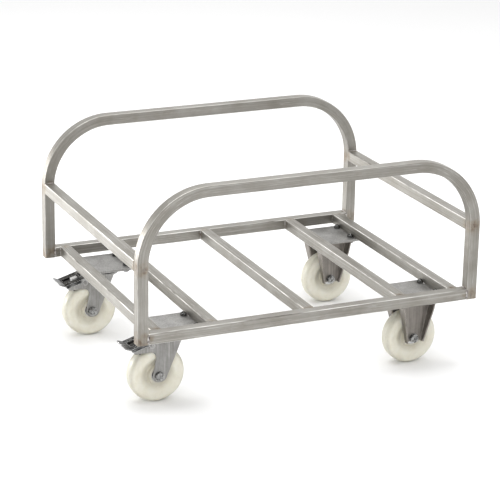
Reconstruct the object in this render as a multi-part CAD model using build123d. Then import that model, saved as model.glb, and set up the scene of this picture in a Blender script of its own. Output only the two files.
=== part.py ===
from build123d import *
from math import cos, sin, radians
import os

# Drum dolly: square-tube deck with two bent side arches, two braked swivel casters at the left (-X)
# end and two fixed casters at the right (+X) end. Millimetres, +Z up, floor at z = 0. The origin is on
# the floor under the middle of the whole dolly, brake pedals included. Front is -Y.

# ---- Frame --------------------------------------------------------------------------------------
TUBE = 25.0
TUBE_WALL = 1.5
TUBE_CORNER = 2.0
TUBE_BORE = TUBE - 2 * TUBE_WALL
TUBE_BORE_CORNER = 0.7
FRAME_LENGTH = 830.0
FRAME_WIDTH = 645.0
FRAME_UNDERSIDE = 174.0
DECK_TOP = FRAME_UNDERSIDE + TUBE
ARCH_TOP = FRAME_UNDERSIDE + 341.0
ARCH_OUTER_BEND = 165.0
END_BAR_UNDERSIDE = FRAME_UNDERSIDE + 162.0
OUTER_CROSSBAR_X = 364.0
INNER_CROSSBAR_X = 231.0
END_CAP_THICKNESS = 2.0

# ---- Caster mounting ----------------------------------------------------------------------------
CASTER_X = 299.0
CASTER_Y = 219.5
MOUNTING_PLATE_THICKNESS = 5.0
MOUNTING_PLATE_DEPTH = 116.0
MOUNTING_PLATE_CORNER = 3.0
MOUNTING_PLATE_TOP = FRAME_UNDERSIDE
TOP_PLATE_TOP = MOUNTING_PLATE_TOP - MOUNTING_PLATE_THICKNESS
TOP_PLATE_THICKNESS = 4.0
TOP_PLATE_UNDERSIDE = TOP_PLATE_TOP - TOP_PLATE_THICKNESS
TOP_PLATE_LENGTH = 118.0
TOP_PLATE_WIDTH = 100.0
TOP_PLATE_CORNER = 8.0
BOLT_SPACING_X = 92.0
BOLT_SPACING_Y = 75.0
MOUNTING_BOLT_RADIUS = 4.0
MOUNTING_HOLE_RADIUS = 4.5
MOUNTING_NUT_FLATS = 13.0
MOUNTING_NUT_HEIGHT = 6.8
MOUNTING_HEAD_HEIGHT = 5.3
MOUNTING_BOLT_STICKOUT = 3.0
HEAD_ROOM_RADIUS = 8.6
HEAD_ROOM_HEIGHT = 6.5

# ---- Wheel and axle -----------------------------------------------------------------------------
WHEEL_RADIUS = 65.0
WHEEL_HALF_WIDTH = 20.0
TREAD_CORNER = 14.0
WEB_HALF_WIDTH = 12.0
DISH_OUTER_RADIUS = 41.0
HUB_HALF_WIDTH = 20.5
HUB_RADIUS = 22.0
WHEEL_BORE_RADIUS = 13.0
BEARING_OUTER_RADIUS = 16.0
BEARING_INNER_EDGE = 10.0
BEARING_OUTER_EDGE = 20.0
BEARING_SPLIT_RADIUS = 13.2
INNER_RING_RADIUS = 8.8
AXLE_RADIUS = 6.0
AXLE_HOLE_RADIUS = 6.1
AXLE_NUT_FLATS = 18.0
AXLE_HEAD_HEIGHT = 6.0
AXLE_NUT_HEIGHT = 8.0
AXLE_STICKOUT = 2.0
AXLE_WASHER_RADIUS = 11.0
AXLE_WASHER_THICKNESS = 1.5
THRUST_WASHER_RADIUS = 9.2
NUT_COLLAR_HEIGHT = 2.0
NUT_CORNER = 1.2
THREAD_CHAMFER = 1.0
FORK_INNER = 22.5
FORK_SHEET = 3.0
FORK_OUTER = FORK_INNER + FORK_SHEET
AXLE_SEAT = FORK_OUTER + AXLE_WASHER_THICKNESS

# ---- Swivel caster ------------------------------------------------------------------------------
TRAIL = 36.0
CROWN_TOP = 158.0
CROWN_THICKNESS = 4.0
CROWN_RADIUS = 38.0
UPPER_BALL_RADIUS = 3.0
UPPER_BALL_PITCH_RADIUS = 30.0
UPPER_BALL_COUNT = 24
UPPER_BALL_Z = 160.0
LOWER_BALL_RADIUS = 2.5
LOWER_BALL_PITCH_RADIUS = 15.0
LOWER_BALL_COUNT = 15
LOWER_BALL_Z = 152.5
UPPER_RACE_INNER_RADIUS = 24.8
UPPER_RACE_OUTER_RADIUS = 34.8
UPPER_RACE_EDGE = 1.2
UPPER_RACE_RIM_Z = UPPER_BALL_Z + 1.6
SEAL_INNER_RADIUS = 35.3
SEAL_OUTER_RADIUS = 37.6
SEAL_GAP = 0.4
RACE_SEAT_GAP = 0.05
RACE_RUNNING_GAP = 0.3
KINGPIN_RADIUS = 7.0
KINGPIN_CLEARANCE = 1.0
KINGPIN_STICKOUT = 2.0
KINGPIN_HEAD_RADIUS = 12.0
KINGPIN_NUT_FLATS = 22.0
LOWER_RACE_TOP = 152.0
LOWER_RACE_THICKNESS = 7.0
LOWER_RACE_RADIUS = 19.0
KINGPIN_NUT_HEIGHT = 8.5

# ---- Brake pedal, in the fork's own side view (x from the swivel axis, z from the floor) --------
PEDAL_SHEET = 2.5
PEDAL_HALF_WIDTH = 28.7
PEDAL_FLANGE_DEPTH = 9.0
PEDAL_INNER_END = (-48.0, 153.1)
PEDAL_CREASE = (-103.0, 137.0)
PEDAL_TIP = (-117.0, 142.0)
PEDAL_CORNER = 6.0
PEDAL_PIN = (-53.0, 139.0)
PEDAL_PIN_RADIUS = 3.0
PIN_RUNNING_FIT = 0.08
PIN_PRESS_FIT = 0.02
PEDAL_PIN_HEAD = 1.5
PEDAL_EAR_RADIUS = 6.5
PEDAL_WINDOW = (-99.0, -63.5)
PEDAL_WINDOW_HALF = 13.0
PEDAL_SLOT = (-60.0, -54.0)
PEDAL_SLOT_HALF = 13.5
HANGER = (-78.0, -62.0)
HANGER_INNER_Y = 13.0
HANGER_OUTER_Y = 16.0
HANGER_DEPTH = 9.0
ADJUSTER_X = -73.0
ADJUSTER_HALF = 7.0
SHOE = (-77.0, -64.0)
SHOE_GAP = 0.3
SHOE_THICKNESS = 4.0
SHOE_ARM_DEPTHS = (6.0, 9.0)
SPRING_THICKNESS = 0.8
SPRING_HALF_WIDTH = 6.0

# ---- Fixed caster -------------------------------------------------------------------------------
LEG_FOOT_Z = 57.0
LEG_FOOT_HALF = 21.5
LEG_TOP_HALF = 44.0
FLANGE_SHEET = 3.0
FOLD_OUTER_RADIUS = 4.0
FOLD_INNER_RADIUS = 2.0
FLANGE_FOOT_REACH = 34.0
FLANGE_TOP_REACH = 49.0
FLANGE_TOP_Z = 138.0
BRACKET_CROWN_THICKNESS = 4.0

# The pedals stick out past the left end of the frame, so the frame sits off centre by half of that.
PEDAL_OVERHANG = (CASTER_X - PEDAL_TIP[0]) - FRAME_LENGTH / 2
FRAME_CENTRE_X = PEDAL_OVERHANG / 2

LENGTH_X = (1, 0, 0)
WIDTH_Y = (0, 1, 0)
HEIGHT_Z = (0, 0, 1)


def plane_facing(origin, direction, x_direction):
    return Plane(origin=origin, x_dir=x_direction, z_dir=direction)


def tube_section(size, corner):
    return RectangleRounded(size, size, corner)


def swept_tube(path, start_plane):
    outer = sweep(start_plane * tube_section(TUBE, TUBE_CORNER), path=path)
    bore = sweep(start_plane * tube_section(TUBE_BORE, TUBE_BORE_CORNER), path=path)
    return outer - bore


def straight_tube(start, direction, length):
    end = Vector(*start) + Vector(*direction) * length
    return swept_tube(Line(start, end), plane_facing(start, direction, HEIGHT_Z))


def hexagon_prism(flats, height):
    """A nut or bolt head blank, its corners turned down at both ends."""
    hexagon = RegularPolygon(radius=flats / 2, side_count=6, major_radius=False, rotation=30)
    blank = extrude(hexagon, height)
    turned = extrude(Circle(flats / 2 / cos(radians(30))), height)
    return blank & chamfer(turned.edges(), NUT_CORNER / 2, NUT_CORNER)


def ring(inner_radius, outer_radius, low, high):
    """A plain ring about Z."""
    tall = high - low
    body = Cylinder(outer_radius, tall) - Cylinder(inner_radius, tall)
    return Pos(0, 0, (low + high) / 2) * body


def ring_about_y(inner_radius, outer_radius, low, high):
    """A plain ring about Y."""
    return Rot(-90, 0, 0) * ring(inner_radius, outer_radius, low, high)


def side_view_face(points, corner_radii):
    """A closed outline drawn in x and z, with one corner radius for each point."""
    outline = FilletPolyline(*[(x, 0, z) for x, z in points], radius=corner_radii, close=True)
    return make_face(outline.edges())


def slab(face, low_y, high_y):
    """Thickens a side-view face from low_y to high_y."""
    moved = Pos(0, low_y, 0) * face
    return extrude(moved, amount=high_y - low_y, dir=WIDTH_Y)


def along_y(section, x, z, low_y, high_y):
    """A section drawn on the ground plane, stood up as a bar along Y at x and z."""
    return Pos(x, low_y, z) * Rot(-90, 0, 0) * extrude(section, high_y - low_y)


def both_sides(solid):
    return [solid, mirror(solid, about=Plane.XZ)]


def fused_sides(solid):
    return solid + mirror(solid, about=Plane.XZ)


# ---- Frame pieces -------------------------------------------------------------------------------

def side_arch(y):
    half = FRAME_LENGTH / 2 - TUBE / 2
    top = ARCH_TOP - TUBE / 2
    corners = [(-half, y, FRAME_UNDERSIDE), (-half, y, top), (half, y, top), (half, y, FRAME_UNDERSIDE)]
    path = FilletPolyline(*corners, radius=ARCH_OUTER_BEND - TUBE / 2)
    return swept_tube(path, plane_facing(corners[0], HEIGHT_Z, LENGTH_X))


def side_rail(y):
    length = FRAME_LENGTH - 2 * TUBE
    return straight_tube((-length / 2, y, DECK_TOP - TUBE / 2), LENGTH_X, length)


def cross_tube(x, underside):
    length = FRAME_WIDTH - 2 * TUBE
    return straight_tube((x, -length / 2, underside + TUBE / 2), WIDTH_Y, length)


def post_end_cap(x, y):
    cap = extrude(tube_section(TUBE_BORE, TUBE_BORE_CORNER), END_CAP_THICKNESS)
    return Pos(x, y, FRAME_UNDERSIDE) * cap


def mounting_plate(side_x, side_y):
    """Bridges a pair of crossbars from centre line to centre line, with the caster's bolt holes."""
    centre_x = side_x * (INNER_CROSSBAR_X + OUTER_CROSSBAR_X) / 2
    length = OUTER_CROSSBAR_X - INNER_CROSSBAR_X
    outline = RectangleRounded(length, MOUNTING_PLATE_DEPTH, MOUNTING_PLATE_CORNER)
    plate = Pos(centre_x, side_y * CASTER_Y, TOP_PLATE_TOP) * extrude(outline, MOUNTING_PLATE_THICKNESS)
    for x, y in bolt_places(side_x, side_y):
        plate -= Pos(x, y, TOP_PLATE_TOP) * Cylinder(MOUNTING_HOLE_RADIUS, 4 * MOUNTING_PLATE_THICKNESS)
    return plate


def bolt_offsets():
    return [(sx * BOLT_SPACING_X / 2, sy * BOLT_SPACING_Y / 2) for sx in (-1, 1) for sy in (-1, 1)]


def bolt_places(side_x, side_y):
    return [(side_x * CASTER_X + dx, side_y * CASTER_Y + dy) for dx, dy in bolt_offsets()]


def mounting_bolt(x, y):
    """Head under the caster's top plate, shank up through both plates and the nut."""
    head = Pos(0, 0, -MOUNTING_HEAD_HEIGHT) * hexagon_prism(MOUNTING_NUT_FLATS, MOUNTING_HEAD_HEIGHT)
    top = MOUNTING_PLATE_TOP + MOUNTING_NUT_HEIGHT + MOUNTING_BOLT_STICKOUT
    shank = extrude(Circle(MOUNTING_BOLT_RADIUS), top - TOP_PLATE_UNDERSIDE)
    shank = chamfer(shank.edges().group_by(Axis.Z)[-1], THREAD_CHAMFER)
    return Pos(x, y, TOP_PLATE_UNDERSIDE) * (head + shank)


def mounting_nut(x, y):
    nut = hexagon_prism(MOUNTING_NUT_FLATS, MOUNTING_NUT_HEIGHT)
    nut -= Cylinder(MOUNTING_BOLT_RADIUS, 4 * MOUNTING_NUT_HEIGHT)
    return Pos(x, y, MOUNTING_PLATE_TOP) * nut


# ---- Wheel and axle pieces, about the wheel's centre with the axle along Y ----------------------

def wheel():
    """Moulded nylon wheel: fat rounded tread, smoothly dished sides, hub with two bearing seats."""
    outline = [
        (WHEEL_BORE_RADIUS, 0),
        (WHEEL_BORE_RADIUS, BEARING_INNER_EDGE),
        (BEARING_OUTER_RADIUS, BEARING_INNER_EDGE),
        (BEARING_OUTER_RADIUS, HUB_HALF_WIDTH),
        (HUB_RADIUS, HUB_HALF_WIDTH),
        (HUB_RADIUS + 2.0, WEB_HALF_WIDTH),
        (DISH_OUTER_RADIUS - 12.0, WEB_HALF_WIDTH),
        (DISH_OUTER_RADIUS, WHEEL_HALF_WIDTH),
        (WHEEL_RADIUS, WHEEL_HALF_WIDTH),
        (WHEEL_RADIUS, 0),
    ]
    radii = [0, 0, 0, 0.5, 1.0, 2.0, 9.0, 12.0, TREAD_CORNER, 0]
    profile = make_face(FilletPolyline(*outline, radius=radii, close=True).edges())
    half = revolve(profile, Axis.Y)
    return half + mirror(half, about=Plane.XZ)


def wheel_bearing():
    """Outer ring of one sealed bearing with its shield; it turns with the wheel."""
    split = BEARING_SPLIT_RADIUS
    outer = ring_about_y(split, BEARING_OUTER_RADIUS, BEARING_INNER_EDGE, BEARING_OUTER_EDGE)
    shield_face = BEARING_OUTER_EDGE - 0.5
    shield = ring_about_y(INNER_RING_RADIUS + 0.6, split, shield_face - 0.6, shield_face)
    return outer + shield


def bearing_inner_ring():
    return ring_about_y(AXLE_HOLE_RADIUS, INNER_RING_RADIUS, BEARING_INNER_EDGE, BEARING_OUTER_EDGE)


def axle_spacers():
    """Sleeve between the inner rings, thrust washers beside the wheel, washers under head and nut."""
    sleeve = ring_about_y(AXLE_HOLE_RADIUS, INNER_RING_RADIUS - 0.3, -BEARING_INNER_EDGE, BEARING_INNER_EDGE)
    thrust = ring_about_y(AXLE_HOLE_RADIUS, THRUST_WASHER_RADIUS, BEARING_OUTER_EDGE, FORK_INNER)
    washer = ring_about_y(AXLE_HOLE_RADIUS, AXLE_WASHER_RADIUS, FORK_OUTER, AXLE_SEAT)
    return [sleeve, *both_sides(thrust), *both_sides(washer)]


def axle_bolt():
    """Hexagon head on the outboard side, which is -Y here."""
    length = 2 * AXLE_SEAT + AXLE_NUT_HEIGHT + AXLE_STICKOUT
    shank = chamfer(extrude(Circle(AXLE_RADIUS), length).edges().group_by(Axis.Z)[-1], THREAD_CHAMFER)
    head = Pos(0, 0, -AXLE_HEAD_HEIGHT) * hexagon_prism(AXLE_NUT_FLATS, AXLE_HEAD_HEIGHT)
    return Pos(0, -AXLE_SEAT, 0) * Rot(-90, 0, 0) * (shank + head)


def axle_nut():
    """Locking nut: hexagon with a round collar on top."""
    nut = hexagon_prism(AXLE_NUT_FLATS, AXLE_NUT_HEIGHT - NUT_COLLAR_HEIGHT)
    nut += extrude(Circle(AXLE_NUT_FLATS / 2 - NUT_CORNER), AXLE_NUT_HEIGHT)
    nut -= Cylinder(AXLE_RADIUS, 4 * AXLE_NUT_HEIGHT)
    return Pos(0, AXLE_SEAT, 0) * Rot(-90, 0, 0) * nut


# ---- Swivel caster pieces, about the swivel axis with the wheel trailing towards -X -------------

def plate_blank():
    outline = RectangleRounded(TOP_PLATE_LENGTH, TOP_PLATE_WIDTH, TOP_PLATE_CORNER)
    blank = Pos(0, 0, TOP_PLATE_UNDERSIDE) * extrude(outline, TOP_PLATE_THICKNESS)
    for dx, dy in bolt_offsets():
        blank -= Pos(dx, dy, TOP_PLATE_TOP) * Cylinder(MOUNTING_HOLE_RADIUS, 4 * TOP_PLATE_THICKNESS)
    return blank


def kingpin_head():
    """Countersunk head, flush with the top plate."""
    cone = Cone(KINGPIN_RADIUS, KINGPIN_HEAD_RADIUS, TOP_PLATE_THICKNESS)
    return Pos(0, 0, TOP_PLATE_TOP - TOP_PLATE_THICKNESS / 2) * cone


def swivel_top_plate():
    raceway = Pos(0, 0, UPPER_BALL_Z) * Torus(UPPER_BALL_PITCH_RADIUS, UPPER_BALL_RADIUS + RACE_RUNNING_GAP)
    plate = plate_blank() - kingpin_head()
    plate += ring(UPPER_RACE_INNER_RADIUS, UPPER_RACE_OUTER_RADIUS, UPPER_RACE_RIM_Z, TOP_PLATE_UNDERSIDE)
    return plate - raceway


def kingpin():
    low = LOWER_RACE_TOP - LOWER_RACE_THICKNESS - KINGPIN_NUT_HEIGHT - KINGPIN_STICKOUT
    shank = Pos(0, 0, low) * extrude(Circle(KINGPIN_RADIUS), TOP_PLATE_UNDERSIDE - low)
    return kingpin_head() + chamfer(shank.edges().group_by(Axis.Z)[0], THREAD_CHAMFER)


def kingpin_nut():
    nut = hexagon_prism(KINGPIN_NUT_FLATS, KINGPIN_NUT_HEIGHT)
    nut -= Cylinder(KINGPIN_RADIUS, 4 * KINGPIN_NUT_HEIGHT)
    return Pos(0, 0, LOWER_RACE_TOP - LOWER_RACE_THICKNESS - KINGPIN_NUT_HEIGHT) * nut


def lower_race():
    cup = ring(KINGPIN_RADIUS, LOWER_RACE_RADIUS, LOWER_RACE_TOP - LOWER_RACE_THICKNESS, LOWER_RACE_TOP)
    groove = Torus(LOWER_BALL_PITCH_RADIUS, LOWER_BALL_RADIUS + RACE_RUNNING_GAP)
    return cup - Pos(0, 0, LOWER_BALL_Z) * groove


def ball_circle(count, pitch_radius, ball_radius, z):
    places = [360.0 * i / count for i in range(count)]
    return [Rot(0, 0, a) * Pos(pitch_radius, 0, z) * Sphere(ball_radius) for a in places]


def swivel_balls():
    upper = ball_circle(UPPER_BALL_COUNT, UPPER_BALL_PITCH_RADIUS, UPPER_BALL_RADIUS, UPPER_BALL_Z)
    lower = ball_circle(LOWER_BALL_COUNT, LOWER_BALL_PITCH_RADIUS, LOWER_BALL_RADIUS, LOWER_BALL_Z)
    return [*upper, *lower]


def dust_seal():
    return ring(SEAL_INNER_RADIUS, SEAL_OUTER_RADIUS, CROWN_TOP, TOP_PLATE_UNDERSIDE - SEAL_GAP)


def fork():
    """Pressed fork: a crown with the ball grooves and two cheeks that carry axle and pedal."""
    axle_x = -TRAIL
    beyond = 3 * FORK_OUTER
    eye_low = WHEEL_RADIUS - 16.0
    wing_low = 122.5
    crown_back = -39.0
    outline = [
        (axle_x + 60.0, CROWN_TOP),
        (axle_x + 14.5, eye_low),
        (axle_x - 17.5, eye_low),
        (axle_x - 3.5, wing_low),
        (-93.0, wing_low),
        (-97.0, 131.0),
        (-60.0, 144.5),
        (crown_back - 5.0, 149.0),
        (crown_back, CROWN_TOP),
    ]
    radii = [1.0, 15.5, 15.5, 14.0, 4.0, 3.0, 1.0, 3.0, 1.0]
    blank = slab(side_view_face(outline, radii), -FORK_OUTER, FORK_OUTER)
    bends = blank.edges().filter_by(Axis.X).group_by(Axis.Z)[-1]
    blank = fillet(bends, FORK_SHEET)
    crown_underside = CROWN_TOP - CROWN_THICKNESS
    wheel_room = Rectangle(6 * TRAIL, 2 * FORK_INNER)
    body = blank - extrude(wheel_room, crown_underside)
    body -= Pos(crown_back - 3 * TRAIL, 0, 0) * extrude(wheel_room, CROWN_TOP)
    kingpin_hole = KINGPIN_RADIUS + KINGPIN_CLEARANCE
    body += ring(kingpin_hole, CROWN_RADIUS, crown_underside, CROWN_TOP)
    race_rim = CROWN_TOP + UPPER_RACE_EDGE
    body += ring(UPPER_RACE_INNER_RADIUS, UPPER_RACE_OUTER_RADIUS, crown_underside, race_rim)
    body -= Pos(0, 0, UPPER_BALL_Z) * Torus(UPPER_BALL_PITCH_RADIUS, UPPER_BALL_RADIUS + RACE_SEAT_GAP)
    body -= Pos(0, 0, LOWER_BALL_Z) * Torus(LOWER_BALL_PITCH_RADIUS, LOWER_BALL_RADIUS + RACE_SEAT_GAP)
    body -= extrude(Circle(kingpin_hole), TOP_PLATE_TOP)
    body -= along_y(Circle(AXLE_HOLE_RADIUS), axle_x, WHEEL_RADIUS, -beyond, beyond)
    body -= along_y(Circle(PEDAL_PIN_RADIUS + PIN_PRESS_FIT), *PEDAL_PIN, -beyond, beyond)
    return body


def pedal_line(x, below=0.0):
    """Height of the pedal's sloping top face at x, less a depth below it."""
    x0, z0 = PEDAL_CREASE
    x1, z1 = PEDAL_INNER_END
    return z0 + (z1 - z0) * (x - x0) / (x1 - x0) - below


def pedal_bar(ends, upper, lower):
    """Side-view face of a bar lying parallel to the pedal, between two depths below its top face."""
    left, right = ends
    outline = [
        (left, pedal_line(left, upper)),
        (left, pedal_line(left, lower)),
        (right, pedal_line(right, lower)),
        (right, pedal_line(right, upper)),
    ]
    return side_view_face(outline, [0.0, 0.0, 0.0, 0.0])


def pedal_plate():
    """The pressed foot plate with its upturned tip and two openings."""
    inner_x, inner_z = PEDAL_INNER_END
    crease_x, crease_z = PEDAL_CREASE
    tip_x, tip_z = PEDAL_TIP
    outline = [
        (inner_x, inner_z),
        (inner_x, inner_z - PEDAL_SHEET),
        (crease_x, crease_z - PEDAL_SHEET),
        (tip_x, tip_z - PEDAL_SHEET),
        (tip_x, tip_z),
        (crease_x, crease_z),
    ]
    face = side_view_face(outline, [0.4, 0.4, 4.0, 0.4, 0.4, 2.0])
    plate = slab(face, -PEDAL_HALF_WIDTH, PEDAL_HALF_WIDTH)
    from_above = RectangleRounded(inner_x - tip_x, 2 * PEDAL_HALF_WIDTH, PEDAL_CORNER)
    plate &= Pos((inner_x + tip_x) / 2, 0, 0) * extrude(from_above, 2 * inner_z)
    for ends, half in ((PEDAL_WINDOW, PEDAL_WINDOW_HALF), (PEDAL_SLOT, PEDAL_SLOT_HALF)):
        plate -= slab(pedal_bar(ends, -PEDAL_SHEET, 2 * PEDAL_SHEET), -half, half)
    return plate


def pedal_flange():
    """Side flange with the round ear that turns on the pedal pin."""
    inner_x, inner_z = PEDAL_INNER_END
    pin_x, pin_z = PEDAL_PIN
    behind_ear = pin_x - 2 * PEDAL_EAR_RADIUS
    outer = PEDAL_CREASE[0] + 2.0
    outline = [
        (inner_x, inner_z - 0.5),
        (inner_x, pin_z),
        (pin_x - PEDAL_EAR_RADIUS, pin_z - 1.0),
        (behind_ear, pedal_line(behind_ear, PEDAL_FLANGE_DEPTH)),
        (outer, pedal_line(outer, PEDAL_FLANGE_DEPTH)),
        (outer, pedal_line(outer, 0.5)),
    ]
    face = side_view_face(outline, [0.4, 2.0, 1.0, 3.0, 3.0, 0.4])
    inside = PEDAL_HALF_WIDTH - PEDAL_SHEET
    ear = along_y(Circle(PEDAL_EAR_RADIUS), pin_x, pin_z, inside, PEDAL_HALF_WIDTH)
    return slab(face, inside, PEDAL_HALF_WIDTH) + ear


def hanger_web():
    """One of the two webs under the pedal that carry the brake shoe."""
    left, right = HANGER
    drop = WHEEL_RADIUS + 50.0
    face = pedal_bar((PEDAL_WINDOW[0] - 1.0, right), 1.0, HANGER_DEPTH)
    web = slab(face, HANGER_INNER_Y, HANGER_OUTER_Y)
    web += slab(pedal_bar(HANGER, 1.0, pedal_line(left) - drop), HANGER_INNER_Y, HANGER_OUTER_Y)
    return web - shoe_cylinder(SHOE_GAP + SHOE_THICKNESS)


def adjuster_block():
    """Tie between the webs with the square adjusting block that shows in the pedal's window."""
    tie = pedal_bar((ADJUSTER_X - 2.0, ADJUSTER_X + 2.0), 3.0, SHOE_ARM_DEPTHS[0])
    block = pedal_bar((ADJUSTER_X - ADJUSTER_HALF, ADJUSTER_X + ADJUSTER_HALF), -0.5, SHOE_ARM_DEPTHS[0])
    return slab(tie, -HANGER_INNER_Y, HANGER_INNER_Y) + slab(block, -ADJUSTER_HALF, ADJUSTER_HALF)


def brake_pedal():
    """Pedal plate with side flanges, the shoe's hanger webs and the adjusting block."""
    pin_x, pin_z = PEDAL_PIN
    pedal = pedal_plate() + fused_sides(pedal_flange()) + fused_sides(hanger_web()) + adjuster_block()
    pin_hole = Circle(PEDAL_PIN_RADIUS + PIN_RUNNING_FIT)
    return pedal - along_y(pin_hole, pin_x, pin_z, -2 * PEDAL_HALF_WIDTH, 2 * PEDAL_HALF_WIDTH)


def shoe_cylinder(clearance):
    """The wheel's own round, grown by a clearance."""
    return along_y(Circle(WHEEL_RADIUS + clearance), -TRAIL, WHEEL_RADIUS, -WHEEL_RADIUS, WHEEL_RADIUS)


def brake_shoe():
    """Moulded shoe held between the hanger webs: an arm under the pedal and a block over the tread."""
    upper, lower = SHOE_ARM_DEPTHS
    arm = pedal_bar((PEDAL_WINDOW[0], SHOE[1]), upper, lower)
    block = pedal_bar(SHOE, upper, pedal_line(SHOE[1]) - 2 * WHEEL_RADIUS + TREAD_CORNER)
    shoe = slab(arm, -HANGER_INNER_Y, HANGER_INNER_Y) + slab(block, -HANGER_INNER_Y, HANGER_INNER_Y)
    return shoe - shoe_cylinder(SHOE_GAP)


def pedal_pin():
    """Rivet through both cheeks and both pedal ears, headed at each end."""
    x, z = PEDAL_PIN
    half = PEDAL_HALF_WIDTH + 0.4
    head = along_y(Circle(PEDAL_PIN_RADIUS + PEDAL_PIN_HEAD), x, z, half, half + PEDAL_PIN_HEAD)
    return along_y(Circle(PEDAL_PIN_RADIUS), x, z, -half - 0.5, half + 0.5) + fused_sides(head)


def pedal_spring():
    """Leaf under the crown's back edge, stepped down to press up on the pedal."""
    crown_underside = CROWN_TOP - CROWN_THICKNESS
    path = [
        (-25.0, crown_underside),
        (-42.0, crown_underside),
        (-44.5, 146.2),
        (-60.0, 146.2),
    ]
    lower = [(x + 0.4, z - SPRING_THICKNESS) for x, z in reversed(path)]
    strip = side_view_face([*path, *lower], [0.2, 1.6, 0.9, 0.2, 0.2, 1.7, 0.9, 0.2])
    return slab(strip, -SPRING_HALF_WIDTH, SPRING_HALF_WIDTH)


# ---- Fixed caster pieces, about the middle of its top plate -------------------------------------

def leg_half(z, inset=0.0):
    """Half the leg's width at a height above the floor."""
    rise = (z - LEG_FOOT_Z) / (TOP_PLATE_UNDERSIDE - LEG_FOOT_Z)
    return LEG_FOOT_HALF + (LEG_TOP_HALF - LEG_FOOT_HALF) * rise - inset


def tapering_block(low_z, high_z, low_y, high_y, inset, fold_radius):
    """The leg's tapering outline as a block, with its two slanted edges on the low_y face rounded."""
    low, high = leg_half(low_z, inset), leg_half(high_z, inset)
    outline = [(-high, high_z), (-low, low_z), (low, low_z), (high, high_z)]
    block = slab(side_view_face(outline, [0.0, 0.0, 0.0, 0.0]), low_y, high_y)
    folds = block.edges().group_by(Axis.Y)[0].filter_by(lambda e: abs(e.center().X) > 1)
    return fillet(folds, fold_radius)


def bracket_leg():
    """One leg on the +Y side: a tapering flat web with a flange turned outwards along each slanted edge."""
    past = 12.0
    over = TOP_PLATE_UNDERSIDE + past
    beyond = 2 * FLANGE_TOP_REACH
    leg = tapering_block(LEG_FOOT_Z, over, FORK_INNER, FLANGE_TOP_REACH, 0.0, FOLD_OUTER_RADIUS)
    leg -= tapering_block(LEG_FOOT_Z - past, over + past, FORK_OUTER, beyond, FLANGE_SHEET, FOLD_INNER_RADIUS)
    outside_flange = Polyline(
        (0, FLANGE_FOOT_REACH, LEG_FOOT_Z - past),
        (0, FLANGE_TOP_REACH, FLANGE_TOP_Z),
        (0, beyond, FLANGE_TOP_Z),
        (0, beyond, LEG_FOOT_Z - past),
        close=True,
    )
    leg -= extrude(make_face(outside_flange), amount=beyond, both=True)
    return leg - Pos(0, 0, TOP_PLATE_UNDERSIDE) * extrude(Rectangle(2 * beyond, 2 * beyond), 2 * past)


def fixed_bracket():
    """Pressed bracket: top plate, a crown under it and two flanged legs, notched round the bolt heads."""
    beyond = 2 * FLANGE_TOP_REACH
    crown = extrude(Rectangle(2 * LEG_FOOT_HALF, 2 * FORK_OUTER), -BRACKET_CROWN_THICKNESS)
    body = Pos(0, 0, TOP_PLATE_UNDERSIDE) * crown + fused_sides(bracket_leg())
    for dx, dy in bolt_offsets():
        body -= Pos(dx, dy, TOP_PLATE_UNDERSIDE) * extrude(Circle(HEAD_ROOM_RADIUS), -HEAD_ROOM_HEIGHT)
    body += plate_blank()
    return body - along_y(Circle(AXLE_HOLE_RADIUS), 0, WHEEL_RADIUS, -beyond, beyond)


# ---- Assembly -----------------------------------------------------------------------------------

SIDES = {"front": -1, "rear": 1}


def as_list(shapes):
    return list(shapes) if isinstance(shapes, (list, tuple)) else [shapes]


def place_caster_piece(shapes, side_x, side_y):
    """Pieces are made for the front casters; the rear ones are their mirror images."""
    placed = []
    for shape in as_list(shapes):
        turned = mirror(shape, about=Plane.XZ) if side_y > 0 else shape
        placed.append(Pos(side_x * CASTER_X, side_y * CASTER_Y, 0) * turned)
    return placed


def on_axle(shapes, offset_x):
    return [Pos(offset_x, 0, WHEEL_RADIUS) * shape for shape in as_list(shapes)]


def wheel_set(offset_x):
    """The wheel, its bearings and its axle, at their place in the caster."""
    pieces = {
        "wheel": wheel(),
        "wheel_bearings": both_sides(wheel_bearing()),
        "bearing_inner_rings": both_sides(bearing_inner_ring()),
        "axle_spacers": axle_spacers(),
        "axle_bolt": axle_bolt(),
        "axle_nut": axle_nut(),
    }
    return {name: on_axle(shapes, offset_x) for name, shapes in pieces.items()}


def swivel_caster():
    pieces = {
        "top_plate": swivel_top_plate(),
        "swivel_balls": swivel_balls(),
        "dust_seal": dust_seal(),
        "fork": fork(),
        "brake_pedal": brake_pedal(),
        "brake_shoe": brake_shoe(),
        "pedal_pin": pedal_pin(),
        "pedal_spring": pedal_spring(),
    }
    return pieces | wheel_set(-TRAIL)


def fixed_caster():
    return {"bracket": fixed_bracket()} | wheel_set(0.0)


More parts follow.
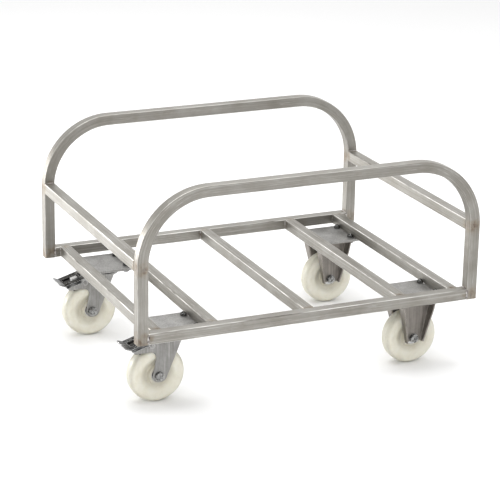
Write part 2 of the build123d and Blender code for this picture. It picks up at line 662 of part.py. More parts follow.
def frame_pieces():
    side_y = FRAME_WIDTH / 2 - TUBE / 2
    post_x = FRAME_LENGTH / 2 - TUBE / 2
    crossbars = {
        "left_outer_crossbar": -OUTER_CROSSBAR_X,
        "left_inner_crossbar": -INNER_CROSSBAR_X,
        "middle_crossbar": 0.0,
        "right_inner_crossbar": INNER_CROSSBAR_X,
        "right_outer_crossbar": OUTER_CROSSBAR_X,
    }
    pieces = {}
    for name, side in SIDES.items():
        pieces[f"{name}_side_arch"] = side_arch(side * side_y)
        pieces[f"{name}_side_rail"] = side_rail(side * side_y)
        pieces[f"{name}_left_mounting_plate"] = mounting_plate(-1, side)
        pieces[f"{name}_right_mounting_plate"] = mounting_plate(1, side)
    for name, x in crossbars.items():
        pieces[name] = cross_tube(x, FRAME_UNDERSIDE)
    pieces["left_end_bar"] = cross_tube(-post_x, END_BAR_UNDERSIDE)
    pieces["right_end_bar"] = cross_tube(post_x, END_BAR_UNDERSIDE)
    pieces["post_end_caps"] = [post_end_cap(sx * post_x, sy * side_y) for sx in (-1, 1) for sy in (-1, 1)]
    return pieces


def fasteners():
    places = [place for sx in (-1, 1) for sy in (-1, 1) for place in bolt_places(sx, sy)]
    return {
        "mounting_bolts": [mounting_bolt(x, y) for x, y in places],
        "mounting_nuts": [mounting_nut(x, y) for x, y in places],
        "kingpins": [p for sy in (-1, 1) for p in place_caster_piece(kingpin(), -1, sy)],
        "kingpin_nuts": [p for sy in (-1, 1) for p in place_caster_piece(kingpin_nut(), -1, sy)],
        "lower_races": [p for sy in (-1, 1) for p in place_caster_piece(lower_race(), -1, sy)],
    }


def all_pieces():
    pieces = frame_pieces() | fasteners()
    swivel = swivel_caster()
    fixed = fixed_caster()
    shared_fixed = {"axle_bolt", "axle_nut", "axle_spacers", "bearing_inner_rings"}
    for side_name, side_y in SIDES.items():
        for name, shapes in swivel.items():
            pieces[f"{side_name}_left_{name}"] = place_caster_piece(shapes, -1, side_y)
        for name, shapes in fixed.items():
            placed = place_caster_piece(shapes, 1, side_y)
            if name in shared_fixed:
                pieces.setdefault(f"fixed_caster_{name.rstrip('s')}s", []).extend(placed)
            else:
                pieces[f"{side_name}_right_{name}"] = placed
    return pieces


def write_parts():
    os.makedirs("parts", exist_ok=True)
    for name, shapes in all_pieces().items():
        solids = [solid for shape in as_list(shapes) for solid in shape.solids()]
        node = Pos(FRAME_CENTRE_X, 0, 0) * (solids[0] if len(solids) == 1 else Compound(solids))
        export_step(node, f"parts/{name}.step")


write_parts()
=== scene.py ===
import math
import random

import bmesh
import bpy
from mathutils import Matrix, Vector


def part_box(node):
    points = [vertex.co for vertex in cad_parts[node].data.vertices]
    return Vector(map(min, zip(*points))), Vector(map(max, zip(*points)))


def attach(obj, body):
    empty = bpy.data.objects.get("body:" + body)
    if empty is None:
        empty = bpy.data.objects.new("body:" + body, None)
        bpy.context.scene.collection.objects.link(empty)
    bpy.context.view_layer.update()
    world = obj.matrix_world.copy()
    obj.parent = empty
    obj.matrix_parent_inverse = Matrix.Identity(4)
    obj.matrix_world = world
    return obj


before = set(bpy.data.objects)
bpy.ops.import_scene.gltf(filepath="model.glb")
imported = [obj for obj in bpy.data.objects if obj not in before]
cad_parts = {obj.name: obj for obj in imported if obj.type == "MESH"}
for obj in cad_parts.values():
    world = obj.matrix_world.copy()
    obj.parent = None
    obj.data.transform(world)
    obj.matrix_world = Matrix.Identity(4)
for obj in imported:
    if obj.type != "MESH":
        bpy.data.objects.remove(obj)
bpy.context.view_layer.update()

# Drum dolly. Metres, in the CAD frame: +X towards the fixed casters, +Y to the rear, +Z up.

MM = 0.001
FRAME_CENTRE_X = 0.5 * MM

# Camera at the photograph's angle, from the fit of the tube edges.
CAMERA_POSITION = (-1.8261, -4.0327, 1.7408)
CAMERA_YAW = 0.423
CAMERA_PITCH = -0.327
CAMERA_ROLL = 0.018
CAMERA_LENS = 143.54
SENSOR = 36.0

# Dimensions of the CAD model that the welds, the brushing and the tints follow.
TUBE = 25.0 * MM
HALF_LENGTH = 415.0 * MM
HALF_WIDTH = 322.5 * MM
DECK_LOW = 174.0 * MM
DECK_TOP = 199.0 * MM
DECK_MIDDLE = 187.0 * MM
END_BAR_LOW = 336.0 * MM
ARCH_STRAIGHT_HALF = 250.0 * MM
ARCH_BEND_Z = 350.0 * MM
OUTER_CROSSBAR_X = 364.0 * MM
INNER_CROSSBAR_X = 231.0 * MM
CROSSBAR_X = [-OUTER_CROSSBAR_X, -INNER_CROSSBAR_X, 0.0, INNER_CROSSBAR_X, OUTER_CROSSBAR_X]
CASTER_X = 299.0 * MM
CASTER_Y = 219.5 * MM
WHEEL_RADIUS = 65.0 * MM
ADJUSTER_X = -73.0 * MM
ADJUSTER_HALF = 7.2 * MM

SIDES = {"front": -1, "rear": 1}
ENDS = (-1, 1)


# ---- Node helpers --------------------------------------------------------------------------------

class Graph:
    """One material's nodes, added a call at a time around a Principled shader."""

    def __init__(self, name):
        self.material = bpy.data.materials.new(name)
        self.material.use_nodes = True
        self.tree = self.material.node_tree
        self.tree.nodes.clear()
        self.shader = self.add("ShaderNodeBsdfPrincipled")
        output = self.add("ShaderNodeOutputMaterial")
        self.tree.links.new(self.shader.outputs["BSDF"], output.inputs["Surface"])

    def add(self, kind, **settings):
        node = self.tree.nodes.new(kind)
        for key, value in settings.items():
            setattr(node, key, value)
        return node

    def put(self, socket, value):
        """Links a socket to another node's output, or sets it to a constant."""
        if isinstance(value, bpy.types.NodeSocket):
            self.tree.links.new(value, socket)
        else:
            socket.default_value = value

    def set(self, **values):
        for key, value in values.items():
            self.put(self.shader.inputs[key.replace("_", " ")], value)

    def math(self, operation, *values):
        node = self.add("ShaderNodeMath", operation=operation)
        for socket, value in zip(node.inputs, values):
            self.put(socket, value)
        return node.outputs[0]

    def vector(self, operation, *values):
        node = self.add("ShaderNodeVectorMath", operation=operation)
        for socket, value in zip(node.inputs, values):
            self.put(socket, value)
        return node.outputs["Value" if operation in ("LENGTH", "DISTANCE", "DOT_PRODUCT") else "Vector"]

    def combine(self, x, y, z):
        node = self.add("ShaderNodeCombineXYZ")
        for socket, value in zip(node.inputs, (x, y, z)):
            self.put(socket, value)
        return node.outputs[0]

    def separate(self, vector):
        node = self.add("ShaderNodeSeparateXYZ")
        self.put(node.inputs[0], vector)
        return node.outputs

    def place(self):
        return self.add("ShaderNodeTexCoord").outputs["Object"]

    def noise(self, vector, scale, detail=2.0, roughness=0.5, distortion=0.0):
        node = self.add("ShaderNodeTexNoise")
        self.put(node.inputs["Vector"], vector)
        node.inputs["Scale"].default_value = scale
        node.inputs["Detail"].default_value = detail
        node.inputs["Roughness"].default_value = roughness
        node.inputs["Distortion"].default_value = distortion
        return node.outputs["Fac"]

    def range(self, value, low, high, new_low=0.0, new_high=1.0, smooth=False):
        node = self.add("ShaderNodeMapRange", interpolation_type="SMOOTHSTEP" if smooth else "LINEAR")
        for key, number in (("Value", value), ("From Min", low), ("From Max", high),
                            ("To Min", new_low), ("To Max", new_high)):
            self.put(node.inputs[key], number)
        return node.outputs["Result"]

    def ramp(self, value, stops):
        node = self.add("ShaderNodeValToRGB")
        self.put(node.inputs["Fac"], value)
        elements = node.color_ramp.elements
        while len(elements) < len(stops):
            elements.new(0.5)
        for element, (place, colour) in zip(elements, stops):
            element.position = place
            element.color = (*colour, 1.0)
        return node.outputs["Color"]

    def mix(self, factor, first, second, blend="MIX"):
        node = self.add("ShaderNodeMix", data_type="RGBA", blend_type=blend)
        self.put(node.inputs["Factor"], factor)
        for key, value in (("A", first), ("B", second)):
            socket = next(s for s in node.inputs if s.name == key and s.type == "RGBA")
            self.put(socket, (*value, 1.0) if isinstance(value, tuple) and len(value) == 3 else value)
        return next(s for s in node.outputs if s.type == "RGBA")

    def bump(self, height, strength, distance):
        node = self.add("ShaderNodeBump")
        node.inputs["Strength"].default_value = strength
        node.inputs["Distance"].default_value = distance
        self.put(node.inputs["Height"], height)
        self.put(self.shader.inputs["Normal"], node.outputs["Normal"])

    def normal(self):
        """Size of the surface normal's x, y and z."""
        across = self.separate(self.add("ShaderNodeNewGeometry").outputs["Normal"])
        return [self.math("ABSOLUTE", part) for part in across]

    def edges(self, radius):
        """1 near a hard edge, 0 on open faces."""
        bevel = self.add("ShaderNodeBevel", samples=4)
        bevel.inputs["Radius"].default_value = radius
        normal = self.add("ShaderNodeNewGeometry").outputs["Normal"]
        alike = self.vector("DOT_PRODUCT", bevel.outputs["Normal"], normal)
        return self.range(alike, 0.995, 0.93, 0.0, 1.0)


# ---- Materials -----------------------------------------------------------------------------------

STEEL_LOW = (0.265, 0.25, 0.222)
STEEL = (0.31, 0.297, 0.27)
STEEL_HIGH = (0.355, 0.343, 0.317)
STEEL_DARK = (0.14, 0.13, 0.115)
STEEL_LIGHT = (0.60, 0.59, 0.56)
SMUDGE = (0.22, 0.19, 0.16)
# Painted reflection on rounded tube corners: a dark line, a pale band and a bright highlight.
PAINTED_CORNER_REFLECTION_TONES = [(0.36, (0.12, 0.11, 0.10)), (0.48, (0.60, 0.59, 0.56)), (0.60, (0.92, 0.91, 0.88))]
HEAT_TONES = [(0.0, (1.0, 1.0, 1.0)), (0.35, (0.86, 0.76, 0.66)), (0.65, (0.54, 0.42, 0.37)),
              (0.85, (0.34, 0.29, 0.29)), (1.0, (0.50, 0.46, 0.45))]
WELD_TONES = [(0.32, (0.09, 0.08, 0.08)), (0.44, (0.22, 0.20, 0.19)), (0.56, (0.46, 0.44, 0.42)),
              (0.74, (0.80, 0.79, 0.77))]
SHEET_LOW = (0.24, 0.235, 0.225)
SHEET_HIGH = (0.38, 0.375, 0.365)
# Painted highlight along the hard edges of pressed sheet.
SHEET_EDGE_HIGHLIGHT = (0.74, 0.74, 0.72)
# Painted shade on the brake pedal: near-black tones stand for the shadow in its openings and underside.
PEDAL_PAINTED_SHADE_TONES = [(0.36, (0.02, 0.02, 0.021)), (0.54, (0.09, 0.09, 0.09)), (0.72, (0.30, 0.30, 0.295))]
# Painted highlight on the edges of the pedal and the fasteners.
PAINTED_EDGE_HIGHLIGHT = (0.80, 0.80, 0.79)
BLOCK_WHITE = (0.93, 0.93, 0.92)
NYLON_TONES = [(0.25, (0.66, 0.63, 0.52)), (0.5, (0.74, 0.715, 0.61)), (0.75, (0.78, 0.765, 0.68))]
# Painted shade for the wheel tread: a duller ivory.
NYLON_TREAD_SHADE = (0.50, 0.485, 0.40)
NYLON_SCUFF = (0.42, 0.38, 0.31)
# Painted shade in the wheel's recessed dish near the hub.
NYLON_HUB_SHADE = (0.38, 0.35, 0.28)
FLOOR_TONES = [(0.3, (0.90, 0.90, 0.90)), (0.7, (0.92, 0.92, 0.92))]

# How far the heat tint reaches from a weld.
ARCH_TINT_REACH = 0.034
RAIL_TINT_REACH = 0.024
CROSSBAR_TINT_REACH = 0.026
END_BAR_TINT_REACH = 0.028


def toned(colour, tone):
    return tuple(tone * c for c in colour)


def along_rail(graph):
    """Grain coordinates of a tube along X, and the mask for the painted highlight on its rounded corners."""
    x, y, z = graph.separate(graph.place())
    normal_x, normal_y, normal_z = graph.normal()
    return graph.combine(x, y, z), graph.math("MINIMUM", normal_y, normal_z)


def along_bar(graph):
    """Grain coordinates of a tube along Y, and the mask for the painted highlight on its rounded corners."""
    x, y, z = graph.separate(graph.place())
    normal_x, normal_y, normal_z = graph.normal()
    return graph.combine(y, x, z), graph.math("MINIMUM", normal_x, normal_z)


def along_arch(graph):
    """Grain that follows the posts, bends and top of a bent tube, and a weaker mask for the painted
    reflection on its long corners.
    """
    x, y, z = graph.separate(graph.place())
    out = graph.math("ABSOLUTE", graph.math("SUBTRACT", x, FRAME_CENTRE_X))
    past_x = graph.math("MAXIMUM", graph.math("SUBTRACT", out, ARCH_STRAIGHT_HALF), 0.0)
    past_z = graph.math("MAXIMUM", graph.math("SUBTRACT", z, ARCH_BEND_Z), 0.0)
    across = graph.vector("LENGTH", graph.combine(past_x, past_z, 0.0))
    along = graph.math("SUBTRACT", z, out)
    normal_x, normal_y, normal_z = graph.normal()
    in_plane = graph.vector("LENGTH", graph.combine(normal_x, normal_z, 0.0))
    corner_reflection_mask = graph.math("MINIMUM", normal_y, in_plane)
    return graph.combine(along, across, y), graph.math("MULTIPLY", corner_reflection_mask, 0.6)


def heat_tint(graph, points, reach):
    """0 away from the welds, rising to 1 at them, with a smoky edge."""
    place = graph.place()
    smoke = graph.math("MULTIPLY", graph.noise(place, 70.0, 3.0, 0.6), reach * 0.9)
    nearest = None
    for point in points:
        distance = graph.vector("DISTANCE", place, point)
        nearest = distance if nearest is None else graph.math("MINIMUM", nearest, distance)
    smoky = graph.math("ADD", nearest, smoke)
    return graph.range(smoky, reach * 1.25, reach * 0.35, 0.0, 1.0, smooth=True)


def brushed_tube(name, coordinates, weld_points, reach):
    """Stainless tube brushed lengthwise: cloudy tone, painted bright and dark reflections along the rounded
    corners, heat tint at the welds.
    """
    graph = Graph(name)
    place = graph.place()
    grain_place, corner_reflection_mask = coordinates(graph)
    grain = graph.noise(graph.vector("MULTIPLY", grain_place, (5.0, 900.0, 900.0)), 1.0, 3.0, 0.65)
    streaks = graph.noise(graph.vector("MULTIPLY", grain_place, (2.5, 330.0, 330.0)), 1.0, 3.0, 0.6)
    scratches = graph.noise(graph.vector("MULTIPLY", grain_place, (22.0, 420.0, 420.0)), 1.0, 2.0, 0.5)
    cloud = graph.noise(place, 11.0, 3.0, 0.6, 0.4)
    smudge = graph.noise(place, 55.0, 4.0, 0.7, 0.6)
    colour = graph.ramp(cloud, [(0.32, STEEL_LOW), (0.50, STEEL), (0.70, STEEL_HIGH)])
    colour = graph.mix(graph.range(grain, 0.45, 0.72, 0.0, 0.50), colour, STEEL_DARK)
    colour = graph.mix(graph.range(streaks, 0.54, 0.74, 0.0, 0.28), colour, STEEL_LIGHT)
    colour = graph.mix(graph.range(streaks, 0.44, 0.28, 0.0, 0.30), colour, STEEL_DARK)
    colour = graph.mix(graph.range(scratches, 0.62, 0.76, 0.0, 0.50), colour, STEEL_LIGHT)
    colour = graph.mix(graph.range(smudge, 0.55, 0.75, 0.0, 0.25), colour, SMUDGE)
    # Painted reflection: rounded corners turned to bright highlight, streaked with dark reflection.
    corner_reflection_streaks = graph.noise(graph.vector("MULTIPLY", grain_place, (9.0, 30.0, 30.0)), 1.0, 3.0, 0.6)
    colour = graph.mix(graph.range(corner_reflection_mask, 0.15, 0.60, 0.0, 0.90), colour, graph.ramp(corner_reflection_streaks, PAINTED_CORNER_REFLECTION_TONES))
    tint = heat_tint(graph, weld_points, reach)
    patchy = graph.range(smudge, 0.38, 0.60, 0.30, 1.0)
    colour = graph.mix(patchy, colour, graph.ramp(tint, HEAT_TONES), "MULTIPLY")
    roughness = graph.range(grain, 0.25, 0.75, 0.38, 0.56)
    roughness = graph.math("ADD", roughness, graph.math("MULTIPLY", tint, 0.10))
    graph.set(Base_Color=colour, Metallic=0.88, Roughness=roughness)
    height = graph.math("ADD", grain, graph.math("MULTIPLY", streaks, 0.8))
    graph.bump(graph.math("ADD", height, graph.math("MULTIPLY", scratches, 0.6)), 0.45, 0.06 * MM)
    return graph.material


def pressed_sheet(name, tone=1.0, warmth=1.0):
    """Pressed stainless sheet of the caster parts: matte, finely pitted, a little scuffed, with a painted
    highlight along its hard edges.
    """
    graph = Graph(name)
    place = graph.place()
    pits = graph.noise(place, 900.0, 2.0, 0.6)
    cloud = graph.noise(place, 30.0, 4.0, 0.65, 0.3)
    rolled = graph.noise(graph.vector("MULTIPLY", place, (260.0, 260.0, 12.0)), 1.0, 3.0, 0.6)
    colour = graph.ramp(cloud, [(0.30, toned(SHEET_LOW, tone)), (0.70, toned(SHEET_HIGH, tone))])
    colour = graph.mix(graph.range(rolled, 0.52, 0.75, 0.0, 0.45), colour, toned(STEEL_LIGHT, tone))
    colour = graph.mix(graph.range(rolled, 0.46, 0.28, 0.0, 0.40), colour, toned(STEEL_DARK, tone))
    # Painted highlight along the hard edges.
    colour = graph.mix(graph.math("MULTIPLY", graph.edges(0.9 * MM), 0.55), colour, SHEET_EDGE_HIGHLIGHT)
    colour = graph.mix(1.0, colour, (1.0, warmth, warmth * warmth), "MULTIPLY")
    graph.set(Base_Color=colour, Metallic=0.9, Roughness=graph.range(cloud, 0.3, 0.7, 0.42, 0.60))
    graph.bump(graph.math("ADD", pits, graph.math("MULTIPLY", rolled, 0.8)), 0.35, 0.07 * MM)
    return graph.material


def plated_pedal(name, block_centre):
    """Plated pressing painted dark for the shadow of its openings and underside, with a painted highlight
    along its edges, plain steel near the pivot and a pale adjusting block.
    """
    graph = Graph(name)
    place = graph.place()
    cloud = graph.noise(place, 75.0, 4.0, 0.65, 0.4)
    pits = graph.noise(place, 1100.0, 2.0, 0.6)
    # Painted shade: the pedal's colour comes from these dark tones, for the shadow of its openings and
    # underside.
    colour = graph.ramp(cloud, PEDAL_PAINTED_SHADE_TONES)
    along, across, height = graph.separate(graph.vector("SUBTRACT", place, block_centre))
    # Painted highlight along the hard edges.
    colour = graph.mix(graph.math("MULTIPLY", graph.edges(1.2 * MM), 0.95), colour, PAINTED_EDGE_HIGHLIGHT)
    towards_pivot = graph.range(along, 6.0 * MM, 16.0 * MM, 0.0, 0.95, smooth=True)
    colour = graph.mix(towards_pivot, colour, SHEET_HIGH)
    off_centre = graph.math("MAXIMUM", graph.math("ABSOLUTE", along), graph.math("ABSOLUTE", across))
    on_block = graph.math("LESS_THAN", off_centre, ADJUSTER_HALF)
    colour = graph.mix(graph.math("MULTIPLY", on_block, 0.95), colour, BLOCK_WHITE)
    metallic = graph.range(on_block, 0.0, 1.0, 1.0, 0.35)
    graph.set(Base_Color=colour, Metallic=metallic, Roughness=graph.range(cloud, 0.3, 0.7, 0.16, 0.34))
    graph.bump(graph.math("ADD", pits, cloud), 0.30, 0.08 * MM)
    return graph.material


def turned_steel(name, low, high, roughness):
    """Bright fasteners and bearing rings: fine turning marks, dark specks and a painted highlight on the
    edges.
    """
    graph = Graph(name)
    place = graph.place()
    marks = graph.noise(graph.vector("MULTIPLY", place, (1.0, 6.0, 1.0)), 1400.0 / 6.0, 2.0, 0.6)
    cloud = graph.noise(place, 160.0, 3.0, 0.6)
    colour = graph.ramp(cloud, [(0.32, low), (0.66, high)])
    # Painted highlight on the edges.
    colour = graph.mix(graph.math("MULTIPLY", graph.edges(0.5 * MM), 0.6), colour, PAINTED_EDGE_HIGHLIGHT)
    shine = graph.range(marks, 0.3, 0.7, roughness, roughness + 0.18)
    graph.set(Base_Color=colour, Metallic=1.0, Roughness=shine)
    graph.bump(marks, 0.25, 0.05 * MM)
    return graph.material


def nylon(name, centre):
    """Moulded cast nylon: ivory, faintly translucent, with flow clouds, turning rings and tread scuffs, and
    painted shade on the tread and towards the hub.
    """
    graph = Graph(name)
    place = graph.vector("SUBTRACT", graph.place(), centre)
    x, y, z = graph.separate(place)
    radius = graph.vector("LENGTH", graph.combine(x, 0.0, z))
    flow = graph.noise(place, 38.0, 4.0, 0.55, 0.8)
    fine = graph.noise(place, 420.0, 2.0, 0.5)
    turning = graph.combine(graph.math("MULTIPLY", radius, 900.0), 0.0, graph.math("MULTIPLY", y, 300.0))
    rings = graph.noise(turning, 1.0, 2.0, 0.6)
    colour = graph.ramp(flow, NYLON_TONES)
    scuff = graph.noise(graph.vector("MULTIPLY", place, (1.0, 3.0, 1.0)), 95.0, 4.0, 0.7)
    on_tread = graph.range(radius, WHEEL_RADIUS - 9.0 * MM, WHEEL_RADIUS, 0.0, 1.0, smooth=True)
    scuffed = graph.math("MULTIPLY", graph.range(scuff, 0.46, 0.72, 0.0, 0.55), on_tread)
    # Painted shade: the tread darkened to a duller ivory.
    colour = graph.mix(graph.math("MULTIPLY", on_tread, 0.70), colour, NYLON_TREAD_SHADE)
    colour = graph.mix(scuffed, colour, NYLON_SCUFF)
    # Painted shade: darker towards the hub, where the dish is recessed.
    hub_shade_mask = graph.range(radius, 40.0 * MM, 20.0 * MM, 0.0, 0.60, smooth=True)
    colour = graph.mix(hub_shade_mask, colour, NYLON_HUB_SHADE)
    roughness = graph.range(rings, 0.3, 0.7, 0.34, 0.48)
    roughness = graph.math("ADD", roughness, graph.math("MULTIPLY", scuffed, 0.4))
    graph.set(Base_Color=colour, Metallic=0.0, Roughness=roughness, IOR=1.53)
    graph.set(Subsurface_Weight=0.20, Subsurface_Scale=6.0 * MM)
    graph.shader.inputs["Subsurface Radius"].default_value = (1.0, 0.85, 0.55)
    height = graph.math("ADD", graph.math("MULTIPLY", rings, 0.6), graph.math("MULTIPLY", fine, 0.4))
    graph.bump(graph.math("ADD", height, graph.math("MULTIPLY", scuffed, 1.2)), 0.22, 0.10 * MM)
    return graph.material


def moulded_rubber(name, colour_low, colour_high):
    """Black rubber or plastic with a fine moulded grit."""
    graph = Graph(name)
    place = graph.place()
    cloud = graph.noise(place, 60.0, 3.0, 0.6)
    grit = graph.noise(place, 1500.0, 2.0, 0.6)
    colour = graph.ramp(cloud, [(0.3, colour_low), (0.7, colour_high)])
    graph.set(Base_Color=colour, Metallic=0.0, Roughness=graph.range(grit, 0.3, 0.7, 0.55, 0.8))
    graph.bump(grit, 0.4, 0.08 * MM)
    return graph.material


def weld_metal(name):
    """Weld bead: dark oxide in patches, bright metal between them."""
    graph = Graph(name)
    place = graph.place()
    cloud = graph.noise(place, 140.0, 3.0, 0.6, 0.5)
    colour = graph.ramp(cloud, WELD_TONES)
    grit = graph.noise(place, 1100.0, 2.0, 0.6)
    graph.set(Base_Color=colour, Metallic=1.0, Roughness=graph.range(cloud, 0.3, 0.7, 0.50, 0.28))
    graph.bump(grit, 0.3, 0.06 * MM)
    return graph.material


# ---- Placing ---------------------------------------------------------------------------------------

def paint(node, material):
    """Gives a CAD node its material."""
    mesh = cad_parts[node].data
    mesh.materials.clear()
    mesh.materials.append(material)


def mesh_piece(name, bm, material, body):
    """A smooth-shaded piece that rides on a body."""
    mesh = bpy.data.meshes.new(name)
    bm.to_mesh(mesh)
    bm.free()
    mesh.polygons.foreach_set("use_smooth", [True] * len(mesh.polygons))
    mesh.materials.append(material)
    piece = bpy.data.objects.new(name, mesh)
    bpy.context.scene.collection.objects.link(piece)
    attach(piece, body)
    return piece


# ---- Weld beads --------------------------------------------------------------------------------------

RIPPLE = 2.1 * MM
BEAD_STEP = 0.55 * MM
BEAD_SECTION = 10
CROSSBAR_BEAD = 1.7 * MM
RAIL_TOP_BEAD = 2.3 * MM
FLUSH_BEAD = 3.4 * MM
END_BAR_BEAD = 1.9 * MM
PLATE_BEAD = 2.0 * MM
CORNER_INSET = 2.5 * MM
BEAD_SINK = 0.9 * MM
PLATE_STITCHES = (-38.0 * MM, 38.0 * MM)
STITCH_HALF = 11.0 * MM


def add_bead(bm, start, end, radius, rng):
    """A rippled bead from start to end, tapering at both ends."""
    start, end = Vector(start), Vector(end)
    direction = (end - start).normalized()
    side = direction.orthogonal().normalized()
    up = direction.cross(side)
    length = (end - start).length
    count = max(8, round(length / BEAD_STEP))
    phase = rng.uniform(0.0, 1.0)
    wander = rng.uniform(0.0, math.tau)
    rings = []
    for i in range(count + 1):
        t = i / count
        distance = t * length
        saw = (distance / RIPPLE + phase) % 1.0
        scallop = 0.84 + 0.16 * math.sqrt(max(0.0, 1.0 - (2.0 * saw - 1.0) ** 2))
        taper = min(1.0, 0.35 + 6.0 * min(t, 1.0 - t) * length / (12.0 * radius))
        girth = radius * scallop * taper * (1.0 + 0.06 * math.sin(distance / (5.0 * radius) + wander))
        centre = start + direction * distance
        ring = []
        for k in range(BEAD_SECTION):
            angle = math.tau * k / BEAD_SECTION
            ring.append(bm.verts.new(centre + (side * math.cos(angle) + up * math.sin(angle)) * girth))
        rings.append(ring)
    for first, second in zip(rings, rings[1:]):
        for k in range(BEAD_SECTION):
            n = (k + 1) % BEAD_SECTION
            bm.faces.new((first[k], first[n], second[n], second[k]))
    bm.faces.new(list(reversed(rings[0])))
    bm.faces.new(rings[-1])


def add_beads(bm, lines, radius, rng):
    for start, end in lines:
        add_bead(bm, start, end, radius, rng)


def crossbar_weld_lines(x, side):
    """Both upright corners where a crossbar meets a rail."""
    y = side * (HALF_WIDTH - TUBE)
    low = DECK_LOW + CORNER_INSET
    high = DECK_TOP - CORNER_INSET
    return [((x + s * TUBE / 2, y, low), (x + s * TUBE / 2, y, high)) for s in ENDS]


def rail_weld_lines(end, side):
    """The line across the rail's top where it meets a post."""
    x = FRAME_CENTRE_X + end * (HALF_LENGTH - TUBE)
    outer = side * (HALF_WIDTH - CORNER_INSET)
    inner = side * (HALF_WIDTH - TUBE + CORNER_INSET)
    return [((x, inner, DECK_TOP), (x, outer, DECK_TOP))]


def flush_weld_lines(end, side):
    """Upright lines where the rail's outer and inner faces are flush with the post's."""
    x = FRAME_CENTRE_X + end * (HALF_LENGTH - TUBE)
    low = DECK_LOW + 2.0 * MM
    high = DECK_TOP - 1.5 * MM
    faces = (side * (HALF_WIDTH - BEAD_SINK), side * (HALF_WIDTH - TUBE + BEAD_SINK))
    return [((x, y, low), (x, y, high)) for y in faces]


def end_bar_weld_lines(end, side):
    """Level lines under and over an end bar, where it meets a post's inner face."""
    x = FRAME_CENTRE_X + end * (HALF_LENGTH - TUBE / 2)
    y = side * (HALF_WIDTH - TUBE)
    reach = TUBE / 2 - CORNER_INSET
    return [((x - reach, y, z), (x + reach, y, z)) for z in (END_BAR_LOW, END_BAR_LOW + TUBE)]


def plate_weld_lines(end, side):
    """Stitches where the crossbars stand on a mounting plate."""
    lines = []
    inner = FRAME_CENTRE_X + end * (INNER_CROSSBAR_X + TUBE / 2)
    outer = FRAME_CENTRE_X + end * (OUTER_CROSSBAR_X - TUBE / 2)
    for x in (inner, outer):
        for middle in PLATE_STITCHES:
            y = side * CASTER_Y + middle
            lines.append(((x, y - STITCH_HALF, DECK_LOW), (x, y + STITCH_HALF, DECK_LOW)))
    return lines


def make_welds(material):
    """Three pieces of beads for each side of the frame."""
    rng = random.Random(7)
    for side_name, side in SIDES.items():
        bm = bmesh.new()
        for x in CROSSBAR_X:
            add_beads(bm, crossbar_weld_lines(FRAME_CENTRE_X + x, side), CROSSBAR_BEAD, rng)
        mesh_piece(f"{side_name}_crossbar_welds", bm, material, "frame")
        bm = bmesh.new()
        for end in ENDS:
            add_beads(bm, rail_weld_lines(end, side), RAIL_TOP_BEAD, rng)
            add_beads(bm, flush_weld_lines(end, side), FLUSH_BEAD, rng)
            add_beads(bm, end_bar_weld_lines(end, side), END_BAR_BEAD, rng)
        mesh_piece(f"{side_name}_post_welds", bm, material, "frame")
        bm = bmesh.new()
        for end in ENDS:
            add_beads(bm, plate_weld_lines(end, side), PLATE_BEAD, rng)
        mesh_piece(f"{side_name}_mounting_plate_welds", bm, material, "frame")


# ---- Painting the CAD nodes ---------------------------------------------------------------------------

def paint_side(side_name, side):
    """One arch and its rail, tinted at their own welds."""
    y = side * (HALF_WIDTH - TUBE / 2)
    post_x = HALF_LENGTH - TUBE / 2
    levels = ((DECK_LOW + DECK_TOP) / 2, END_BAR_LOW + TUBE / 2)
    own = [(FRAME_CENTRE_X + e * post_x, y, z) for z in levels for e in ENDS]
    arch = brushed_tube(f"{side_name}_arch_steel", along_arch, own, ARCH_TINT_REACH)
    paint(f"{side_name}_side_arch", arch)
    joints = [(FRAME_CENTRE_X + e * (HALF_LENGTH - TUBE), y, DECK_MIDDLE) for e in ENDS]
    joints += [(FRAME_CENTRE_X + x, y - side * TUBE / 2, DECK_MIDDLE) for x in CROSSBAR_X]
    rail = brushed_tube(f"{side_name}_rail_steel", along_rail, joints, RAIL_TINT_REACH)
    paint(f"{side_name}_side_rail", rail)


def paint_bar(node, name, x, z, reach):
    """One tube along Y, tinted at both ends."""
    ends = [(x, s * (HALF_WIDTH - TUBE), z) for s in ENDS]
    paint(node, brushed_tube(name, along_bar, ends, reach))


def paint_frame():
    for side_name, side in SIDES.items():
        paint_side(side_name, side)
    crossbars = ["left_outer", "left_inner", "middle", "right_inner", "right_outer"]
    for name, place in zip(crossbars, CROSSBAR_X):
        x = FRAME_CENTRE_X + place
        paint_bar(f"{name}_crossbar", f"{name}_crossbar_steel", x, DECK_MIDDLE, CROSSBAR_TINT_REACH)
    for name, end in (("left", -1), ("right", 1)):
        x = FRAME_CENTRE_X + end * (HALF_LENGTH - TUBE / 2)
        z = END_BAR_LOW + TUBE / 2
        paint_bar(f"{name}_end_bar", f"{name}_end_bar_steel", x, z, END_BAR_TINT_REACH)


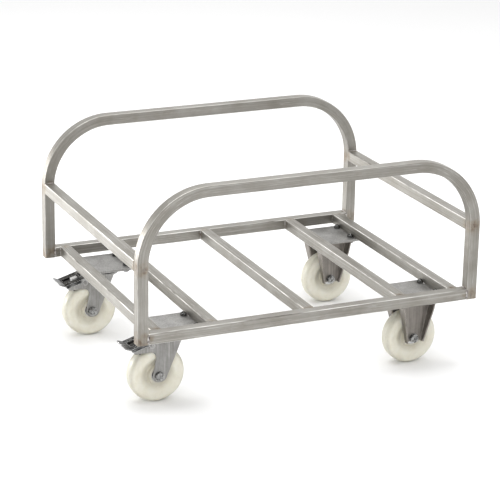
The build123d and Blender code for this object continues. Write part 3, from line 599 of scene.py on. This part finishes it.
def paint_casters():
    """Each caster node takes the first rule whose words are in its name."""
    sheet = pressed_sheet("caster_sheet")
    bracket = pressed_sheet("bracket_sheet", 0.78, warmth=0.94)
    plate = pressed_sheet("mounting_plate_sheet")
    fastener = turned_steel("fastener_steel", (0.05, 0.05, 0.048), (0.42, 0.42, 0.41), 0.18)
    dark = turned_steel("dark_fastener_steel", (0.03, 0.03, 0.03), (0.14, 0.14, 0.135), 0.16)
    bearing = turned_steel("bearing_steel", (0.42, 0.42, 0.42), (0.62, 0.62, 0.62), 0.14)
    seal = moulded_rubber("seal_rubber", (0.025, 0.025, 0.026), (0.055, 0.055, 0.055))
    shoe = moulded_rubber("shoe_rubber", (0.03, 0.028, 0.027), (0.07, 0.066, 0.062))
    caps = moulded_rubber("end_cap_plastic", (0.03, 0.03, 0.03), (0.06, 0.06, 0.06))
    rules = [
        ("_mounting_plate", plate), ("_top_plate", sheet), ("_fork", sheet), ("_bracket", bracket),
        ("lower_races", bearing), ("_brake_shoe", shoe), ("_dust_seal", seal),
        ("_swivel_balls", bearing), ("_wheel_bearings", bearing), ("_inner_rings", bearing),
        ("_pedal_spring", bearing), ("post_end_caps", caps),
        ("mounting_", dark), ("bolt", fastener), ("nut", fastener), ("_pin", sheet),
        ("kingpins", fastener), ("_spacers", fastener),
    ]
    for side_name, side in SIDES.items():
        block = (FRAME_CENTRE_X - CASTER_X + ADJUSTER_X, side * CASTER_Y, 0.0)
        paint(f"{side_name}_left_brake_pedal", plated_pedal(f"{side_name}_pedal_painted_shade", block))
    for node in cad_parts:
        if node.endswith("_wheel"):
            low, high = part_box(node)
            paint(node, nylon(f"{node}_nylon", tuple((low + high) / 2)))
            continue
        for words, material in rules:
            if words in node:
                paint(node, material)
                break


# ---- Stage -----------------------------------------------------------------------------------------

def make_floor():
    """A plain pale sheet that runs far past the view."""
    bm = bmesh.new()
    bmesh.ops.create_grid(bm, x_segments=1, y_segments=1, size=40.0)
    mesh = bpy.data.meshes.new("floor")
    bm.to_mesh(mesh)
    bm.free()
    graph = Graph("floor_paper")
    tone = graph.ramp(graph.noise(graph.place(), 0.6, 2.0, 0.5), FLOOR_TONES)
    graph.set(Base_Color=tone, Roughness=0.9)
    mesh.materials.append(graph.material)
    floor = bpy.data.objects.new("floor", mesh)
    bpy.context.scene.collection.objects.link(floor)


def make_world():
    """White all round, brighter towards the right and the back than towards the left and the front."""
    world = bpy.data.worlds.new("studio")
    world.use_nodes = True
    tree = world.node_tree
    background = tree.nodes["Background"]
    coordinates = tree.nodes.new("ShaderNodeTexCoord")
    slope = tree.nodes.new("ShaderNodeVectorMath")
    slope.operation = "DOT_PRODUCT"
    slope.inputs[1].default_value = (0.85, 0.40, -0.15)
    tree.links.new(coordinates.outputs["Generated"], slope.inputs[0])
    ramp = tree.nodes.new("ShaderNodeMapRange")
    ramp.inputs["From Min"].default_value = -0.6
    ramp.inputs["From Max"].default_value = 0.65
    ramp.inputs["To Min"].default_value = 0.45
    ramp.inputs["To Max"].default_value = 1.25
    tree.links.new(slope.outputs["Value"], ramp.inputs["Value"])
    tree.links.new(ramp.outputs["Result"], background.inputs["Strength"])
    background.inputs["Color"].default_value = (1.0, 1.0, 1.0, 1.0)
    bpy.context.scene.world = world


def softbox(name, place, target, size, power):
    """A rectangular area light that faces its target."""
    light = bpy.data.lights.new(name, "AREA")
    light.shape = "RECTANGLE"
    light.size, light.size_y = size
    light.energy = power
    lamp = bpy.data.objects.new(name, light)
    lamp.location = place
    lamp.rotation_euler = (Vector(target) - Vector(place)).to_track_quat("-Z", "Y").to_euler()
    bpy.context.scene.collection.objects.link(lamp)


def make_lights():
    aim = (0.0, 0.0, 0.25)
    softbox("left", (-2.7, 2.3, 0.45), (-0.3, 0.1, 0.15), (1.6, 0.7), 78.0)
    softbox("front", (-2.2, -3.2, 2.2), aim, (2.4, 1.8), 45.0)
    softbox("top", (-0.2, 0.2, 4.2), aim, (3.4, 3.4), 140.0)


def make_camera():
    """The photograph's camera: yaw, pitch and roll about the place that it was taken from."""
    camera = bpy.data.cameras.new("camera")
    camera.lens = CAMERA_LENS
    camera.sensor_width = SENSOR
    camera.clip_end = 200.0
    view = bpy.data.objects.new("camera", camera)
    upright = Matrix.Rotation(math.pi / 2 + CAMERA_PITCH, 4, "X")
    turn = Matrix.Rotation(-CAMERA_YAW, 4, "Z")
    roll = Matrix.Rotation(CAMERA_ROLL, 4, "Z")
    view.matrix_world = Matrix.Translation(CAMERA_POSITION) @ turn @ upright @ roll
    bpy.context.scene.collection.objects.link(view)
    bpy.context.scene.camera = view


make_floor()
make_world()
make_lights()
make_camera()
bpy.context.scene.view_settings.view_transform = "Standard"
paint_frame()
paint_casters()
make_welds(weld_metal("weld_metal"))
